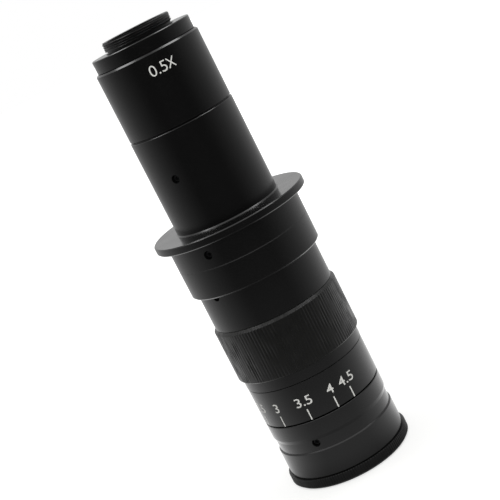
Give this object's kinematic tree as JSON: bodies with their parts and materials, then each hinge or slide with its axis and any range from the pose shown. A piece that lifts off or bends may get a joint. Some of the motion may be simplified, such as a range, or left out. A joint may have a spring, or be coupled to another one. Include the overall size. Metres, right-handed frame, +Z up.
{
  "type": "c-mount zoom lens",
  "caption": "Upright black microscope zoom lens with a camera thread on top, a flanged collar for a stand, a knurled zoom ring over a cam barrel and sliding lens cells inside.",
  "frame": {"origin": "centre of the front ring's lower face, where the lens stands", "axes": "+Z up along the optical axis towards the camera thread; -Y faces the side that shows the scale's high marks at rest"},
  "size_m": [0.058, 0.058, 0.1734],
  "materials": {
    "black_anodised": "black anodised, satin",
    "black_knurled": "black anodised, finely knurled",
    "black_inner": "matte black anodised",
    "screw_steel": "blackened alloy steel",
    "pin_brass": "turned brass",
    "lens_glass": "polished, coated optical glass"
  },
  "bodies": {
    "fixed": {"aperture_stop": "black_inner", "c_mount_ring": "black_anodised", "front_body": "black_anodised", "front_body_screws": "screw_steel", "front_ring": "black_knurled", "guide_barrel": "black_inner", "main_barrel": "black_anodised", "main_barrel_screws": "screw_steel", "objective_crown_lens": "lens_glass", "objective_flint_lens": "lens_glass", "objective_housing": "black_anodised", "objective_rear_lens": "lens_glass", "objective_retainer": "black_inner", "objective_spacer": "black_inner", "rear_cell": "black_inner", "rear_lower_lens": "lens_glass", "rear_retainer": "black_inner", "rear_upper_lens": "lens_glass", "relay_housing": "black_anodised", "relay_lower_lens": "lens_glass", "relay_retainer": "black_inner", "relay_upper_lens": "lens_glass", "stand_collar": "black_anodised", "stand_collar_screws": "screw_steel", "upper_tube": "black_anodised", "upper_tube_screws": "screw_steel"},
    "zoom": {"zoom_grip": "black_anodised", "scale_ring": "black_anodised", "cam_barrel": "black_inner", "drive_screws": "screw_steel"},
    "variator": {"variator_cell": "black_inner", "variator_lower_lens": "lens_glass", "variator_pins": "pin_brass", "variator_retainer": "black_inner", "variator_upper_lens": "lens_glass"},
    "compensator": {"compensator_cell": "black_inner", "compensator_lower_lens": "lens_glass", "compensator_pins": "pin_brass", "compensator_retainer": "black_inner", "compensator_upper_lens": "lens_glass"}
  },
  "joints": [
    {"name": "zoom_ring", "type": "hinge", "parent": "fixed", "child": "zoom", "pos_m": [0, 0, 0.055], "axis": [0, 0, -1], "range_deg": [0, 230]},
    {"name": "variator_slide", "type": "slide", "parent": "fixed", "child": "variator", "axis": [0, 0, 1], "range_m": [0, 0.01597]},
    {"name": "compensator_slide", "type": "slide", "parent": "fixed", "child": "compensator", "axis": [0, 0, 1], "range_m": [-0.01022, 0]}
  ],
  "couplings": [
    {"joint": "variator_slide", "follows": "zoom_ring", "m_per_rad": 0.0039789},
    {"joint": "compensator_slide", "follows": "zoom_ring", "m_per_rad": -0.0025465}
  ]
}
